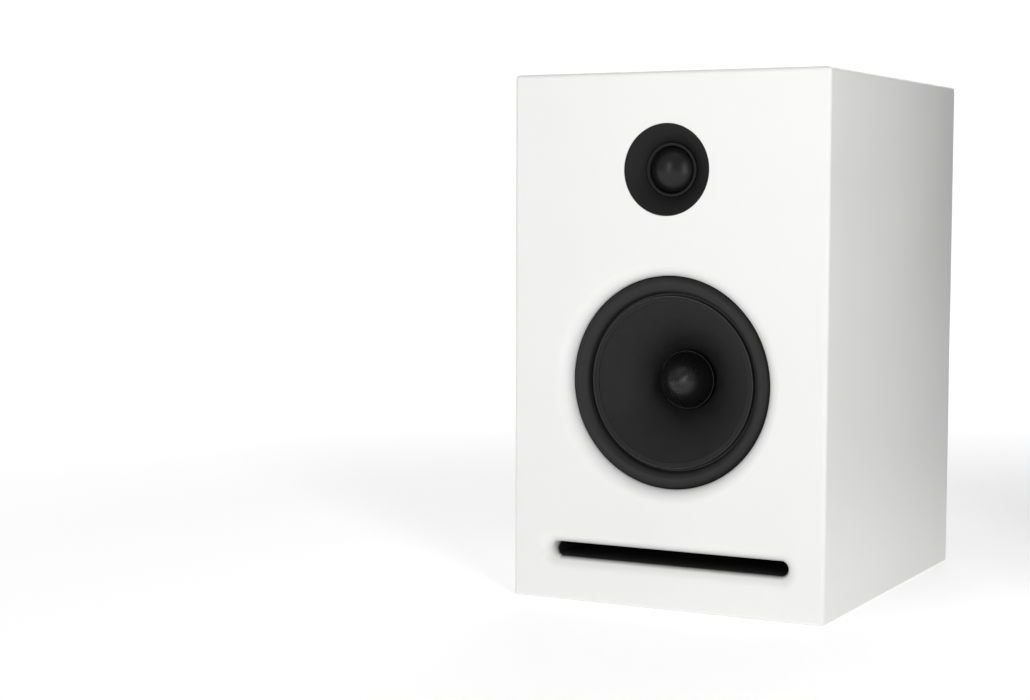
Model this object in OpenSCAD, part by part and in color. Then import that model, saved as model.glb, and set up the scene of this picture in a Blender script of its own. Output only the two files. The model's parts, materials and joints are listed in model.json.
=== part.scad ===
// Two-way bookshelf loudspeaker: a painted fibreboard cabinet with a flared woofer
// opening, a flush tweeter horn and a flared slot port, with every inner piece.
// The origin is the middle of the underside, +Z is up and the front faces -Y.

/* [Cabinet] */
// Width of the cabinet
cabinet_w = 160; // [158:1:170]
// Depth of the cabinet
cabinet_d = 196; // [192:1:220]
// Height of the cabinet
cabinet_h = 254; // [252:1:270]
// Thickness of the front baffle
baffle_t = 18; // [17:0.5:20]
// Thickness of the side, top, bottom and rear panels
panel_t = 12; // [11:0.5:12]
// Radius of the cabinet's outer edges
edge_r = 2; // [1:0.5:3]

/* [Woofer] */
// Height of the woofer's axis above the underside
woofer_z = 107.8; // [107:0.1:109]
// Radius of the woofer opening at its throat
woofer_throat_r = 50.7; // [50.6:0.1:50.9]
// Radius of the rounded flare round the woofer opening
woofer_flare_r = 7; // [5:0.5:7]
// Height of the dust cap's tip above its rim
dust_cap_h = 16; // [14:0.5:17]

/* [Tweeter] */
// Height of the tweeter's axis above the underside
tweeter_z = 208.2; // [207.5:0.1:210]
// Radius of the horn's mouth, flush with the front face
horn_mouth_r = 21.6; // [20:0.1:22]
// Height of the dome above its skirt
dome_h = 5.4; // [3:0.1:6]

/* [Slot port] */
// Height of the slot's centre above the underside
slot_z = 24.5; // [24:0.5:26]
// Length of the slot, over its round ends
slot_l = 121.5; // [100:0.5:122]
// Height of the slot
slot_h = 6.5; // [6:0.1:8]
// Radius of the rounded flare round the slot
slot_flare_r = 7; // [4:0.5:7]
// Length of the duct behind the baffle
duct_l = 110; // [80:5:120]

/* [Terminals] */
// Height of the terminal cup's centre above the underside
cup_z = 68; // [66:1:70]
// Distance between the two binding posts
post_pitch = 19; // [19:0.05:20]
// Radius of the socket in each post, for a 4 mm plug
socket_r = 2.02; // [2.01:0.01:2.04]

/* [Hidden] */
$fn = 96;

// The planes of the cabinet
front_y = -cabinet_d / 2;
rear_y = cabinet_d / 2;
inner_x = cabinet_w / 2 - panel_t;
inner_front_y = front_y + baffle_t;
inner_rear_y = rear_y - panel_t;
inner_top_z = cabinet_h - panel_t;
past = 1;             // how far a cutter runs past the face it opens

// Woofer, as depths behind the front face
woofer_land_d = 7.4;  // the step that the woofer is screwed against
woofer_flange_r = 63;
woofer_rebate_r = 63.5;
flange_front_d = 9.4;
flange_t = 2.5;
surround_t = 0.8;
roll_in_r = 43.1;     // where the half roll starts and ends
roll_out_r = 50.5;
roll_r = (roll_out_r - roll_in_r) / 2;
rim_d = flange_front_d - surround_t;
cone_lip_rear_d = flange_front_d;
cone_lip_r = 41.1;
cone_step_r = 38.3;
cone_t = 0.9;
cone_arc_r = 60;
cap_r = 13.6;
cap_rim_r = 15.8;
cap_rim_d = 26.6;
former_in_r = 12.55;
former_out_r = 12.8;
winding_out_r = 13.3;
winding_d = 43.5;
winding_h = 10;
former_front_d = 29.2;
former_rear_d = 55;
spider_d = 36;
spider_out_r = 38;
spider_t = 0.6;
basket_t = 1.6;
basket_rear_d = 46;
top_plate_t = 5;
magnet_t = 14;
yoke_t = 5;
pole_r = 12.25;
woofer_screw_r = 60;
screw_count = 4;

// Tweeter, as depths behind the front face
tweeter_land_d = 8.2;
horn_flange_r = 30;
horn_flange_t = 2.5;
gasket_t = 0.8;
horn_flange_d = tweeter_land_d + gasket_t;
horn_rear_d = horn_flange_d + horn_flange_t;
horn_throat_r = 11.25;
horn_cavity_r = 13.2;
horn_web_d = 8.6;
dome_r = 10.9;
dome_t = 0.3;
dome_rim_d = 7.4;      // where the dome meets its straight skirt
dome_skirt_d = 8.85;
tweeter_coil_r = 10.85;
tweeter_plate_t = 3;
tweeter_magnet_t = 8;
tweeter_yoke_t = 3.5;
tweeter_pole_r = 10.3;
tweeter_screw_r = 27.2;

// Terminals, as depths in from the rear face
cup_w = 84;
cup_h = 62;
cup_flange_t = 2;
cup_gasket_t = 0.5;
cup_wall = 2.5;
cup_recess_w = 62;
cup_recess_h = 40;
cup_floor_e = 26;
cup_floor_t = 2.5;
post_r = 4;
post_end_e = 7.8;
nut_e = 8.3;
nut_l = 14;
washer_t = 1.2;
collar_e = nut_e + nut_l + washer_t;
stud_r = 2.5;
stud_end_e = 40;

// Crossover board, as heights off the rear panel's inner face
board_z = 137;
board_w = 100;
board_h = 60;
board_t = 1.6;
spacer_h = 6;
board_top = spacer_h + board_t;

// Local frames: +Z runs into the cabinet from the front or rear face
module at_front(z) {
    translate([0, front_y, z]) rotate([-90, 0, 0]) children();
}
module at_rear(x, z) {
    translate([x, rear_y, z]) rotate([90, 0, 0]) children();
}
module on_board(x, z) {
    translate([x, inner_rear_y, board_z + z]) rotate([90, 0, 0]) children();
}

// Outlines
module rounded_rect(w, h, r) {
    square([w - 2 * r, h], center = true);
    square([w, h - 2 * r], center = true);
    for (x = [-1, 1], y = [-1, 1])
        translate([x * (w / 2 - r), y * (h / 2 - r)]) circle(r);
}
module ring_2d(r_in, r_out, from, to) {
    translate([r_in, from]) square([r_out - r_in, to - from]);
}
module ring(r_in, r_out, from, to) {
    rotate_extrude() ring_2d(r_in, r_out, from, to);
}
// Points from p to q on an arc of radius r that bulges to the left of the way
function bow(p, q, r, n) =
    let (half = norm(q - p) / 2, u = (q - p) / (2 * half), left = [-u[1], u[0]],
        c = (p + q) / 2 - sqrt(r * r - half * half) * left,
        start = atan2(p[1] - c[1], p[0] - c[0]), swing = 2 * asin(half / r))
    [for (i = [0:n]) let (a = start - swing * i / n) c + r * [cos(a), sin(a)]];
function reversed(points) = [for (i = [len(points) - 1:-1:0]) points[i]];

// The cabinet's outer box with all its edges rounded
module cabinet_box() {
    translate([0, 0, cabinet_h / 2]) intersection() {
        linear_extrude(cabinet_h, center = true) rounded_rect(cabinet_w, cabinet_d, edge_r);
        rotate([90, 0, 0]) linear_extrude(cabinet_d, center = true)
            rounded_rect(cabinet_w, cabinet_h, edge_r);
        rotate([0, 90, 0]) linear_extrude(cabinet_w, center = true)
            rounded_rect(cabinet_h, cabinet_d, edge_r);
    }
}
module block(from, to) {
    translate(from) cube(to - from);
}
module panel(from, to) {
    intersection() {
        cabinet_box();
        block(from, to);
    }
}

// Cutter for a flared round hole: the mouth curves in to the throat
module round_flare(throat_r, flare_r) {
    rotate_extrude() flare_half(throat_r, flare_r);
}
module flare_half(throat_r, flare_r) {
    difference() {
        translate([0, -past]) square([throat_r + flare_r, flare_r + past]);
        translate([throat_r + flare_r, flare_r]) circle(flare_r);
    }
}
module screw_holes(pitch_r, hole_r, from, to) {
    for (i = [0:screw_count - 1])
        rotate([0, 0, 45 + i * 360 / screw_count])
            translate([pitch_r, 0, from]) cylinder(r = hole_r, h = to - from);
}

// Cabinet panels
pilot_r = 1.6;
pilot_depth = 6;
module slot_cut() {
    run = slot_l / 2 - slot_h / 2;
    for (side = [-1, 1]) translate([side * run, 0, 0]) {
        round_flare(slot_h / 2, slot_flare_r);
        cylinder(r = slot_h / 2, h = baffle_t + past);
    }
    rotate([90, 0, 90]) linear_extrude(2 * run, center = true) {
        flare_half(slot_h / 2, slot_flare_r);
        mirror([1, 0]) flare_half(slot_h / 2, slot_flare_r);
        translate([-slot_h / 2, 0]) square([slot_h, baffle_t + past]);
    }
}
module front_baffle() color("white") difference() {
    panel([-cabinet_w / 2, front_y, 0], [cabinet_w / 2, inner_front_y, cabinet_h]);
    at_front(woofer_z) {
        round_flare(woofer_throat_r, woofer_flare_r);
        cylinder(r = woofer_throat_r, h = baffle_t);
        translate([0, 0, woofer_land_d]) cylinder(r = woofer_rebate_r, h = baffle_t);
        screw_holes(woofer_screw_r, pilot_r, woofer_land_d - pilot_depth, woofer_land_d + past);
    }
    at_front(tweeter_z) {
        translate([0, 0, -past]) cylinder(r = horn_mouth_r, h = baffle_t);
        translate([0, 0, tweeter_land_d]) cylinder(r = horn_flange_r + 0.3, h = baffle_t);
        screw_holes(tweeter_screw_r, pilot_r, tweeter_land_d - pilot_depth,
            tweeter_land_d + past);
    }
    at_front(slot_z) slot_cut();
}
module side_panel(x0, x1) {
    color("white") panel([x0, inner_front_y, 0], [x1, rear_y, cabinet_h]);
}
module left_side() side_panel(-cabinet_w / 2, -inner_x);
module right_side() side_panel(inner_x, cabinet_w / 2);
module top_panel() color("white")
    panel([-inner_x, inner_front_y, inner_top_z], [inner_x, rear_y, cabinet_h]);
module bottom_panel() color("white")
    panel([-inner_x, inner_front_y, 0], [inner_x, rear_y, panel_t]);

// Terminal cup opening and its rebate, with the cup's own clearances
cup_body_w = cup_recess_w + 2 * cup_wall;
cup_body_h = cup_recess_h + 2 * cup_wall;
cup_gap = 0.4;
rebate_e = cup_flange_t + cup_gasket_t;
cup_screw_x = 38;
cup_screw_z = 27;
module at_cup_screws() {
    for (x = [-1, 1], z = [-1, 1]) translate([x * cup_screw_x, z * cup_screw_z, 0]) children();
}
module rear_panel() color("white") difference() {
    block([-inner_x, inner_rear_y, panel_t], [inner_x, rear_y, inner_top_z]);
    at_rear(0, cup_z) {
        translate([0, 0, -past]) linear_extrude(rebate_e + past)
            rounded_rect(cup_w + cup_gap, cup_h + cup_gap, 5);
        linear_extrude(panel_t + past)
            rounded_rect(cup_body_w + 2 * cup_gap, cup_body_h + 2 * cup_gap, 4);
        at_cup_screws() cylinder(r = pilot_r, h = rebate_e + 7);
    }
    for (x = [-1, 1], z = [-1, 1])
        on_board(x * board_hole_x, z * board_hole_z)
            translate([0, 0, -pilot_depth]) cylinder(r = pilot_r, h = pilot_depth + past);
}

// The slot port's duct and the inner boards
duct_floor_z = slot_z - slot_h / 2;
duct_roof_z = slot_z + slot_h / 2;
duct_board_t = 9;
module port_lower_board() color("#202020")
    block([-inner_x, inner_front_y, panel_t], [inner_x, inner_front_y + duct_l, duct_floor_z]);
module port_upper_board() color("#202020")
    block([-inner_x, inner_front_y, duct_roof_z],
        [inner_x, inner_front_y + duct_l, duct_roof_z + duct_board_t]);
module port_spacers() color("#202020") for (side = [0, 1]) mirror([side, 0, 0])
    block([slot_l / 2, inner_front_y, duct_floor_z],
        [inner_x, inner_front_y + duct_l, duct_roof_z]);
brace_z = 171.6;
brace_t = 6;
brace_rim = 22;
module window_brace() color("tan") translate([0, 0, brace_z]) linear_extrude(brace_t)
    difference() {
        translate([-inner_x, inner_front_y])
            square([2 * inner_x, inner_rear_y - inner_front_y]);
        translate([0, (inner_rear_y + inner_front_y) / 2])
            rounded_rect(2 * (inner_x - brace_rim), inner_rear_y - inner_front_y - 2 * brace_rim, 12);
    }
foam_t = 10;
foam_front_y = -52;
foam_rear_y = 78;
module acoustic_foam() color("dimgray") {
    for (side = [0, 1]) mirror([side, 0, 0])
        block([inner_x - foam_t, foam_front_y, 42], [inner_x, foam_rear_y, 166]);
    block([-inner_x + foam_t, foam_front_y, inner_top_z - foam_t],
        [inner_x - foam_t, foam_rear_y, inner_top_z]);
}

// A screw along +Z: its head stands on z = 0 and its shank runs to -Z
module screw(head_r, head_h, shank_r, shank_l, core_r, core_l) {
    difference() {
        rotate_extrude() intersection() {
            translate([0, head_h - head_r * 1.6]) circle(head_r * 1.6);
            square([head_r, head_h]);
        }
        cross_recess(head_r, head_h);
    }
    translate([0, 0, -shank_l]) cylinder(r = shank_r, h = shank_l);
    translate([0, 0, -shank_l - core_l]) cylinder(r = core_r, h = core_l);
}
module cross_recess(head_r, top) {
    for (a = [0, 90]) rotate([0, 0, a])
        translate([0, 0, top]) cube([head_r * 1.1, head_r * 0.28, head_r * 0.9], center = true);
}
// The ring of driver screws: heads behind the flange, points towards the front
module driver_screws(pitch_r, land, flange_rear, head_r, head_h) {
    shank = flange_rear - land;
    for (i = [0:screw_count - 1])
        rotate([0, 0, 45 + i * 360 / screw_count]) translate([pitch_r, 0, flange_rear])
            screw(head_r, head_h, 1.9, shank, 1.55, 5);
}

// Woofer
module woofer_gasket() color("#303030") at_front(woofer_z) difference() {
    rotate_extrude() {
        ring_2d(53, woofer_flange_r, woofer_land_d, rim_d);
        ring_2d(57.2, woofer_flange_r, woofer_land_d, flange_front_d);
    }
    screw_holes(woofer_screw_r, 2.1, woofer_land_d - past, flange_front_d + past);
}
// The basket: flange, sloping wall with six windows, spider shelf, rear seat
basket_window_count = 6;
shelf_d = spider_d + spider_t;
tab_r = 53;
module basket_profile() {
    ring_2d(50.5, woofer_flange_r, flange_front_d, flange_front_d + flange_t);
    polygon([[50.5, flange_front_d], [50.5 + basket_t, flange_front_d],
        [40.6 + basket_t, shelf_d + basket_t], [40.6, shelf_d]]);
    ring_2d(34.5, 40.6 + basket_t, shelf_d, shelf_d + basket_t);
    ring_2d(34.5, 34.5 + basket_t, shelf_d, basket_rear_d);
    ring_2d(20, 34.5 + basket_t, basket_rear_d - basket_t, basket_rear_d);
}
module woofer_basket() color("#383838") at_front(woofer_z) {
    difference() {
        rotate_extrude() basket_profile();
        for (i = [0:basket_window_count - 1]) rotate([0, 0, 30 + i * 60])
            translate([38, -17, flange_front_d + flange_t + 2])
                cube([30, 34, shelf_d - flange_front_d - flange_t - 4]);
        screw_holes(woofer_screw_r, 2.1, flange_front_d - past, flange_front_d + flange_t + past);
    }
    // Tab that carries the tag board, at the top
    translate([-11, -tab_r, shelf_d]) cube([22, tab_r - 41, basket_t]);
}
// Rubber half roll: the outer rim lies on the basket, the inner one behind the cone's lip
module woofer_surround() color("#2a2a2a") at_front(woofer_z) rotate_extrude() {
    translate([(roll_in_r + roll_out_r) / 2, flange_front_d]) difference() {
        circle(roll_r + surround_t / 2);
        circle(roll_r - surround_t / 2);
        translate([-roll_r * 2, 0]) square(roll_r * 4);
    }
    ring_2d(roll_out_r, 57, rim_d, flange_front_d);
    ring_2d(39.2, roll_in_r + surround_t / 2, cone_lip_rear_d, cone_lip_rear_d + surround_t);
}
// Curved cone: shallow at the rim, steep at the neck, with a flat lip
cone_neck_d = 30.75;
cone_steps = 18;
module woofer_cone() color("#333333") at_front(woofer_z) rotate_extrude() {
    lip_rear = cone_lip_rear_d;
    lip_front = lip_rear - cone_t;
    rim = [cone_step_r, lip_front + 0.4];
    foot = [cap_rim_r, cap_rim_d + 0.45];
    slope = (foot - [former_out_r, cone_neck_d]) / norm(foot - [former_out_r, cone_neck_d]);
    behind = cone_t * [-slope[1], slope[0]];
    foot_rear = foot + behind;
    neck_rear_d = foot_rear[1] - (foot_rear[0] - former_out_r) * slope[1] / slope[0];
    polygon(concat(bow(rim, foot, cone_arc_r, cone_steps),
        [[former_out_r, cone_neck_d], [former_out_r, neck_rear_d]],
        bow_back(foot_rear, rim + [0.36, 0.82], cone_arc_r - cone_t, cone_steps),
        [[cone_step_r + 0.7, lip_rear], [cone_lip_r, lip_rear],
            [cone_lip_r, lip_front], [cone_step_r, lip_front]]));
}
function bow_back(p, q, r, n) = reversed(bow(q, p, r, n));
// Pointed dust cap on a flat rim, with a bead at each edge of the rim
cap_t = 0.5;
cap_curve_r = 22;
bead_r = 0.34;
cap_steps = 16;
module woofer_dust_cap() color("#242424") at_front(woofer_z) {
    rotate_extrude() dust_cap_profile();
    for (r = [cap_r + 0.4, cap_rim_r - bead_r - 0.02])
        translate([0, 0, cap_rim_d + 0.05]) rotate_extrude() translate([r, 0]) circle(bead_r);
}
module dust_cap_profile() {
    tip_d = cap_rim_d - dust_cap_h;
    polygon(concat(bow([cap_r, cap_rim_d], [0, tip_d], cap_curve_r, cap_steps),
        reversed(bow([cap_r - cap_t, cap_rim_d], [0, tip_d + cap_t * 1.1], cap_curve_r, cap_steps)),
        [[cap_r - cap_t, cap_rim_d + 0.4], [cap_rim_r, cap_rim_d + 0.4],
            [cap_rim_r, cap_rim_d]]));
}
module woofer_former() color("silver") at_front(woofer_z)
    ring(former_in_r, former_out_r, former_front_d, former_rear_d);
module woofer_winding() color("#b87333") at_front(woofer_z)
    ring(former_out_r, winding_out_r, winding_d, winding_d + winding_h);
// Corrugated cloth disc between the former and the basket's shelf
spider_wave_in = 16;
spider_wave_out = 34;
spider_waves = 5;
spider_steps = 60;
function spider_wave(r) = r < spider_wave_in || r > spider_wave_out ? 0 :
    1.2 * sin(360 * spider_waves * (r - spider_wave_in) / (spider_wave_out - spider_wave_in));
module woofer_spider() color("#b08a3c") at_front(woofer_z) rotate_extrude() {
    step = (spider_wave_out - spider_wave_in) / spider_steps;
    radii = concat([former_out_r], [for (i = [0:spider_steps]) spider_wave_in + i * step],
        [spider_out_r]);
    polygon(concat([for (r = radii) [r, spider_d + spider_wave(r)]],
        [for (r = reversed(radii)) [r, spider_d + spider_t + spider_wave(r)]]));
}
magnet_d = basket_rear_d + top_plate_t;
yoke_d = magnet_d + magnet_t;
module woofer_top_plate() color("#8c8c88") at_front(woofer_z)
    ring(13.75, 36, basket_rear_d, magnet_d);
module woofer_magnet() color("#3a3a3c") at_front(woofer_z) ring(20, 40, magnet_d, yoke_d);
module woofer_yoke() color("#8c8c88") at_front(woofer_z) {
    vent_r = 4;
    ring(vent_r, pole_r, basket_rear_d, yoke_d);
    ring(vent_r, 37, yoke_d, yoke_d + yoke_t);
}
// Tag board and tags on the basket's tab, above the motor
tag_x = 6;
tag_board_t = 1.6;
tag_t = 0.6;
module woofer_tag_board() color("#7a4a24") at_front(woofer_z)
    translate([-10, -tab_r, shelf_d - tag_board_t]) cube([20, tab_r - 43.5, tag_board_t]);
module woofer_tags() color("silver") at_front(woofer_z) for (x = [-1, 1])
    translate([x * tag_x - 2.4, -59, shelf_d - tag_board_t - tag_t]) cube([4.8, 14, tag_t]);
module woofer_screws() color("#404040") at_front(woofer_z)
    driver_screws(woofer_screw_r, woofer_land_d, flange_front_d + flange_t, 2.9, 2.2);

// Tweeter
module tweeter_gasket() color("#303030") at_front(tweeter_z) difference() {
    ring(22.2, horn_flange_r, tweeter_land_d, horn_flange_d);
    screw_holes(tweeter_screw_r, 2.1, tweeter_land_d - past, horn_flange_d + past);
}
// Horn: flush mouth, curved wall, a raised lip round the dome and a rear flange
module tweeter_horn() color("#2c2c2c") at_front(tweeter_z) difference() {
    rotate_extrude() {
        skirt_r = horn_mouth_r - 0.05;
        polygon(concat([[skirt_r, 0]],
            bow([skirt_r - 0.35, 0], [horn_throat_r + 1.6, 7.1], 26, 14),
            [[horn_throat_r + 1.15, 6.3], [horn_throat_r + 0.35, 6.2],
                [horn_throat_r, 6.6], [horn_throat_r, 7.3], [horn_cavity_r, 7.6],
                [horn_cavity_r, horn_web_d], [16.4, horn_web_d], [16.4, horn_rear_d],
                [horn_flange_r, horn_rear_d], [horn_flange_r, horn_flange_d],
                [skirt_r, horn_flange_d]]));
    }
    screw_holes(tweeter_screw_r, 2.1, horn_flange_d - past, horn_rear_d + past);
}
dome_ball_r = (dome_r * dome_r + dome_h * dome_h) / (2 * dome_h);
module tweeter_dome() color("#3c3c3c") at_front(tweeter_z) rotate_extrude() {
    intersection() {
        translate([0, dome_rim_d - dome_h + dome_ball_r]) difference() {
            circle(dome_ball_r);
            circle(dome_ball_r - dome_t);
        }
        translate([0, dome_rim_d - dome_h - past]) square([dome_r + past, dome_h + past]);
    }
    ring_2d(dome_r - dome_t, dome_r, dome_rim_d - 0.2, dome_skirt_d);
}
tweeter_roll_x = 11.9;
tweeter_roll_r = 0.85;
tweeter_roll_t = 0.25;
module tweeter_surround() color("#303030") at_front(tweeter_z) rotate_extrude() {
    translate([tweeter_roll_x, dome_skirt_d]) difference() {
        circle(tweeter_roll_r + tweeter_roll_t / 2);
        circle(tweeter_roll_r - tweeter_roll_t / 2);
        translate([-2, 0]) square(4);
    }
    ring_2d(tweeter_roll_x + tweeter_roll_r, 15.8, dome_skirt_d - tweeter_roll_t, dome_skirt_d);
}
tweeter_coil_t = 0.15;
module tweeter_former() color("silver") at_front(tweeter_z)
    ring(tweeter_coil_r - tweeter_coil_t, tweeter_coil_r, dome_skirt_d, 14.4);
module tweeter_winding() color("#b87333") at_front(tweeter_z)
    ring(tweeter_coil_r, tweeter_coil_r + 0.25, 11.9, 14.1);
module tweeter_carrier() color("#262626") at_front(tweeter_z)
    ring(12.9, 16.2, dome_skirt_d, horn_rear_d);
tweeter_magnet_d = horn_rear_d + tweeter_plate_t;
tweeter_yoke_d = tweeter_magnet_d + tweeter_magnet_t;
module tweeter_felt() color("#555555") at_front(tweeter_z)
    translate([0, 0, horn_rear_d - 0.8]) cylinder(r = 7, h = 0.8);
module tweeter_top_plate() color("#8c8c88") at_front(tweeter_z)
    ring(11.4, 24, horn_rear_d, tweeter_magnet_d);
module tweeter_magnet() color("#3a3a3c") at_front(tweeter_z)
    ring(14, 25, tweeter_magnet_d, tweeter_yoke_d);
module tweeter_yoke() color("#8c8c88") at_front(tweeter_z) {
    translate([0, 0, horn_rear_d]) cylinder(r = tweeter_pole_r, h = tweeter_yoke_d - horn_rear_d);
    translate([0, 0, tweeter_yoke_d]) cylinder(r = 23.5, h = tweeter_yoke_t);
}
tweeter_tag_x = 5;
tweeter_tag_l = 9;
module tweeter_tags() color("silver") at_front(tweeter_z) for (x = [-1, 1])
    translate([x * tweeter_tag_x - 1.6, -tweeter_screw_r - 0.4, horn_rear_d])
        cube([3.2, 0.8, tweeter_tag_l]);
module tweeter_screws() color("#404040") at_front(tweeter_z)
    driver_screws(tweeter_screw_r, tweeter_land_d, horn_rear_d, 2.6, 1.8);

// Crossover network on the rear panel's inner face
board_hole_x = 44;
board_hole_z = 24;
module at_board_holes() {
    for (x = [-1, 1], z = [-1, 1]) on_board(x * board_hole_x, z * board_hole_z) children();
}
module crossover_board() color("#2f6b3a") difference() {
    on_board(0, 0) translate([0, 0, spacer_h]) linear_extrude(board_t)
        rounded_rect(board_w, board_h, 2);
    at_board_holes() cylinder(r = 1.9, h = board_top + past);
}
module board_spacers() color("ivory") at_board_holes() ring(1.9, 3.5, 0, spacer_h);
module board_screws() color("silver") at_board_holes()
    translate([0, 0, board_top]) screw(3, 2, 1.7, board_top, 1.55, 5);
// One row for each choke: x, z, flange radius, core radius and height
chokes = [[-26, 8, 17, 6.5, 15], [6, -14, 11, 4.2, 11]];
choke_cheek = 1.5;
module choke_bobbins() color("ivory") for (c = chokes)
    on_board(c[0], c[1]) translate([0, 0, board_top]) {
        ring(c[3] - 1.3, c[3], 0, c[4]);
        ring(c[3] - 1.3, c[2], 0, choke_cheek);
        ring(c[3] - 1.3, c[2], c[4] - choke_cheek, c[4]);
    }
module choke_windings() color("#b87333") for (c = chokes)
    on_board(c[0], c[1]) translate([0, 0, board_top])
        ring(c[3], c[2] - 1.4, choke_cheek, c[4] - choke_cheek);
// A part lying along X with a wire leg at each end
module axial_part(x, z, r, l) {
    leg_r = 0.4;
    leg_x = l / 2 + 2;
    on_board(x, z) translate([0, 0, board_top]) {
        translate([0, 0, r]) rotate([0, 90, 0]) cylinder(r = r, h = l, center = true);
        translate([0, 0, r]) rotate([0, 90, 0]) cylinder(r = leg_r, h = 2 * leg_x, center = true);
        for (side = [-1, 1]) translate([side * leg_x, 0, 0]) cylinder(r = leg_r, h = r + leg_r);
    }
}
module film_capacitor() color("#c9a227") axial_part(25, 13, 8.5, 30);
module electrolytic_capacitor() color("#27408b") axial_part(31, -6, 6.5, 22);
module ceramic_resistors() color("whitesmoke") for (z = [-16, -25])
    on_board(-24, z) translate([0, 0, board_top]) {
        translate([-11, -3.5, 0.5]) cube([22, 7, 7]);
        for (side = [-1, 1]) {
            translate([side * 13, 0, 0]) cylinder(r = 0.4, h = 4.4);
            translate([side * 12, 0, 4]) rotate([0, 90, 0]) cylinder(r = 0.4, h = 2.8, center = true);
        }
    }

// Terminal cup with its two binding posts
module terminal_cup() color("#222222") at_rear(0, cup_z) difference() {
    union() {
        linear_extrude(cup_flange_t) rounded_rect(cup_w, cup_h, 5);
        linear_extrude(cup_floor_e + cup_floor_t) rounded_rect(cup_body_w, cup_body_h, 4);
    }
    translate([0, 0, -past]) linear_extrude(cup_floor_e + past)
        rounded_rect(cup_recess_w, cup_recess_h, 3);
    for (side = [-1, 1]) translate([side * post_pitch / 2, 0, cup_floor_e - past])
        cylinder(r = stud_r + 0.1, h = cup_floor_t + 2 * past);
    at_cup_screws() {
        translate([0, 0, -past]) cylinder(r = 2.1, h = cup_flange_t + 2 * past);
        translate([0, 0, -0.01]) cylinder(r1 = 3.3, r2 = 2.1, h = 1.7);
    }
}
module terminal_gasket() color("#303030") at_rear(0, cup_z)
    translate([0, 0, cup_flange_t]) linear_extrude(cup_gasket_t) difference() {
        rounded_rect(cup_w, cup_h, 5);
        rounded_rect(cup_body_w + 2 * cup_gap, cup_body_h + 2 * cup_gap, 4);
        for (x = [-1, 1], z = [-1, 1]) translate([x * cup_screw_x, z * cup_screw_z]) circle(2.1);
    }
module terminal_screws() color("#303030") at_rear(0, cup_z) at_cup_screws() difference() {
    union() {
        translate([0, 0, 0.15]) cylinder(r1 = 3.05, r2 = 1.9, h = 1.5);
        translate([0, 0, 0.15]) cylinder(r = 1.9, h = rebate_e - 0.15);
        translate([0, 0, rebate_e]) cylinder(r = 1.55, h = 6);
    }
    cross_recess(2.6, 0.15);
}
red_x = -post_pitch / 2;
black_x = post_pitch / 2;
wire_hole_r = 1.5;
wire_hole_e = collar_e - 0.2 - wire_hole_r;
module post(x) at_rear(x, cup_z) difference() {
    union() {
        translate([0, 0, post_end_e]) cylinder(r = post_r, h = collar_e - post_end_e);
        translate([0, 0, collar_e]) cylinder(r = 6.4, h = cup_floor_e - collar_e, $fn = 6);
        translate([0, 0, cup_floor_e]) cylinder(r = stud_r, h = stud_end_e - cup_floor_e);
    }
    translate([0, 0, post_end_e - past])
        cylinder(r = socket_r, h = wire_hole_e - wire_hole_r - 0.3 - post_end_e + past);
    translate([0, 0, wire_hole_e]) rotate([90, 0, 0])
        cylinder(r = wire_hole_r, h = 3 * post_r, center = true);
}
module red_post() color("gold") post(red_x);
module black_post() color("gold") post(black_x);
nut_bore_r = post_r + 0.06;
nut_r = 7.6;
flute_count = 12;
module clamp_washer(x) at_rear(x, cup_z) ring(nut_bore_r, 6.8, collar_e - washer_t, collar_e);
module red_clamp_washer() color("gold") clamp_washer(red_x);
module black_clamp_washer() color("gold") clamp_washer(black_x);
module thumb_nut(x) at_rear(x, cup_z) difference() {
    rotate_extrude() polygon([[nut_bore_r, nut_e], [nut_r - 1, nut_e], [nut_r, nut_e + 1],
        [nut_r, nut_e + nut_l - 2.5], [nut_r - 1, nut_e + nut_l - 1.5],
        [nut_r - 1, nut_e + nut_l], [nut_bore_r, nut_e + nut_l]]);
    for (i = [0:flute_count - 1]) rotate([0, 0, i * 360 / flute_count])
        translate([nut_r + 0.7, 0, nut_e - past]) cylinder(r = 1.3, h = nut_l - 1.5);
}
module red_thumb_nut() color("firebrick") thumb_nut(red_x);
module black_thumb_nut() color("#1a1a1a") thumb_nut(black_x);
solder_tag_t = 0.8;
tag_e = cup_floor_e + cup_floor_t;
module solder_tags() color("silver") for (x = [red_x, black_x]) at_rear(x, cup_z)
    translate([0, 0, tag_e]) linear_extrude(solder_tag_t) difference() {
        union() {
            circle(4.6);
            translate([-1.5, 0]) square([3, 12]);
        }
        circle(stud_r + 0.1);
    }
module post_lock_nuts() color("silver") for (x = [red_x, black_x]) at_rear(x, cup_z)
    translate([0, 0, tag_e + solder_tag_t]) difference() {
        cylinder(r = 4.6, h = 4, $fn = 6);
        translate([0, 0, -past]) cylinder(r = stud_r + 0.05, h = 4 + 2 * past);
    }

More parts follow.
